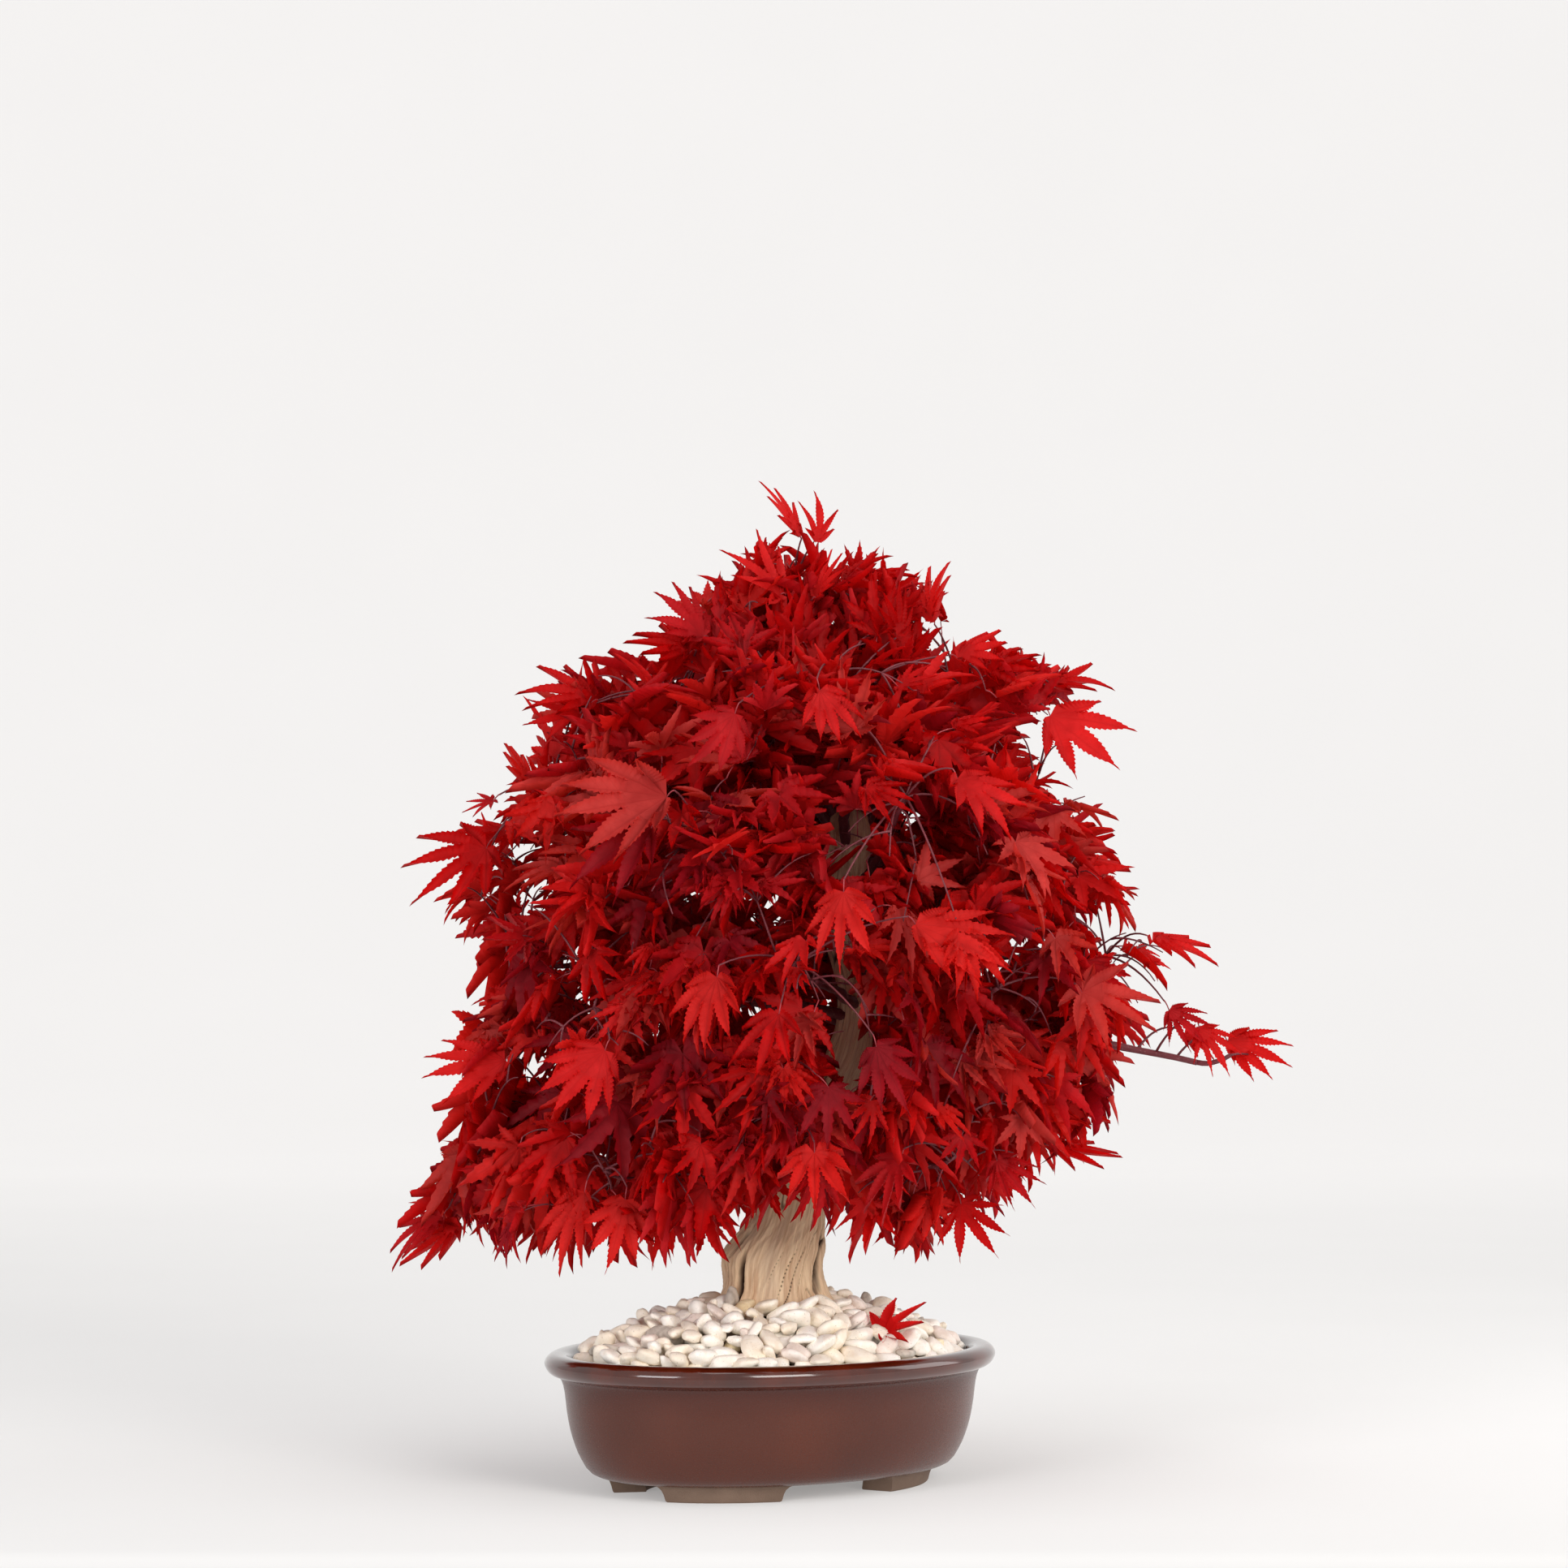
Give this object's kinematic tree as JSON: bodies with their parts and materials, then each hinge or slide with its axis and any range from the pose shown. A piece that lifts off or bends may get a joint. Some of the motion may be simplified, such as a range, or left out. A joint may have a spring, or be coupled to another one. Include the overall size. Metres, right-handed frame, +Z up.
{
  "type": "potted japanese maple bonsai",
  "caption": "Red-leaved Japanese maple bonsai on a leaning driftwood trunk, standing in pale pebbles in an oval glazed pot with low feet.",
  "frame": {"origin": "on the ground, under the middle of the whole plant's bounding box", "axes": "+Z up, +X along the oval pot's long side; the side that the plant is best seen from faces about 36 degrees from -Y towards -X"},
  "size_m": [0.5926, 0.5452, 0.8104],
  "materials": {
    "pot_glaze": "dark reddish-brown glaze, glossy on the lip and satin on the body, with bare fired clay feet",
    "trunk_wood": "bare weathered driftwood, pale grey-brown, cracked along its grain",
    "bough_bark": "thin smooth purple-brown bark",
    "pebble_stone": "rounded cream-white pebbles, matt to satin",
    "leaf_bright": "thin bright red leaves, satin",
    "leaf_deep": "thin deep red leaves, satin",
    "leaf_crimson": "thin crimson leaves, satin",
    "fallen_leaf_red": "one thin red leaf, satin"
  },
  "bodies": {
    "root": {"bough_back_left": "bough_bark", "bough_back_middle": "bough_bark", "bough_back_right": "bough_bark", "bough_far_right": "bough_bark", "bough_front_left": "bough_bark", "bough_low_back_left": "bough_bark", "bough_low_back_right": "bough_bark", "bough_low_front": "bough_bark", "bough_low_front_left": "bough_bark", "bough_low_front_right": "bough_bark", "bough_middle_front": "bough_bark", "bough_middle_left": "bough_bark", "bough_middle_right": "bough_bark", "bough_shoulder_left": "bough_bark", "bough_shoulder_right": "bough_bark", "bough_skirt_back": "bough_bark", "bough_skirt_back_left": "bough_bark", "bough_skirt_back_right": "bough_bark", "bough_skirt_front": "bough_bark", "bough_skirt_front_left": "bough_bark", "bough_skirt_front_right": "bough_bark", "bough_skirt_left": "bough_bark", "bough_skirt_right": "bough_bark", "bough_top": "bough_bark", "bough_upper_back": "bough_bark", "bough_upper_front": "bough_bark", "bough_upper_left": "bough_bark", "bough_upper_right": "bough_bark", "fallen_leaf": "fallen_leaf_red", "mass_back_left": "leaf_crimson", "mass_back_middle": "leaf_bright", "mass_back_right": "leaf_bright", "mass_far_right": "leaf_crimson", "mass_front_left": "leaf_deep", "mass_low_back_left": "leaf_bright", "mass_low_back_right": "leaf_deep", "mass_low_front": "leaf_crimson", "mass_low_front_left": "leaf_crimson", "mass_low_front_right": "leaf_bright", "mass_middle_front": "leaf_crimson", "mass_middle_left": "leaf_crimson", "mass_middle_right": "leaf_bright", "mass_shoulder_left": "leaf_bright", "mass_shoulder_right": "leaf_deep", "mass_skirt_back": "leaf_bright", "mass_skirt_back_left": "leaf_bright", "mass_skirt_back_right": "leaf_deep", "mass_skirt_front": "leaf_crimson", "mass_skirt_front_left": "leaf_crimson", "mass_skirt_front_right": "leaf_bright", "mass_skirt_left": "leaf_crimson", "mass_skirt_right": "leaf_bright", "mass_top": "leaf_bright", "mass_upper_back": "leaf_crimson", "mass_upper_front": "leaf_deep", "mass_upper_left": "leaf_deep", "mass_upper_right": "leaf_crimson", "pebble_bed": "pebble_stone", "pot": "pot_glaze", "trunk": "trunk_wood"}
  },
  "joints": []
}
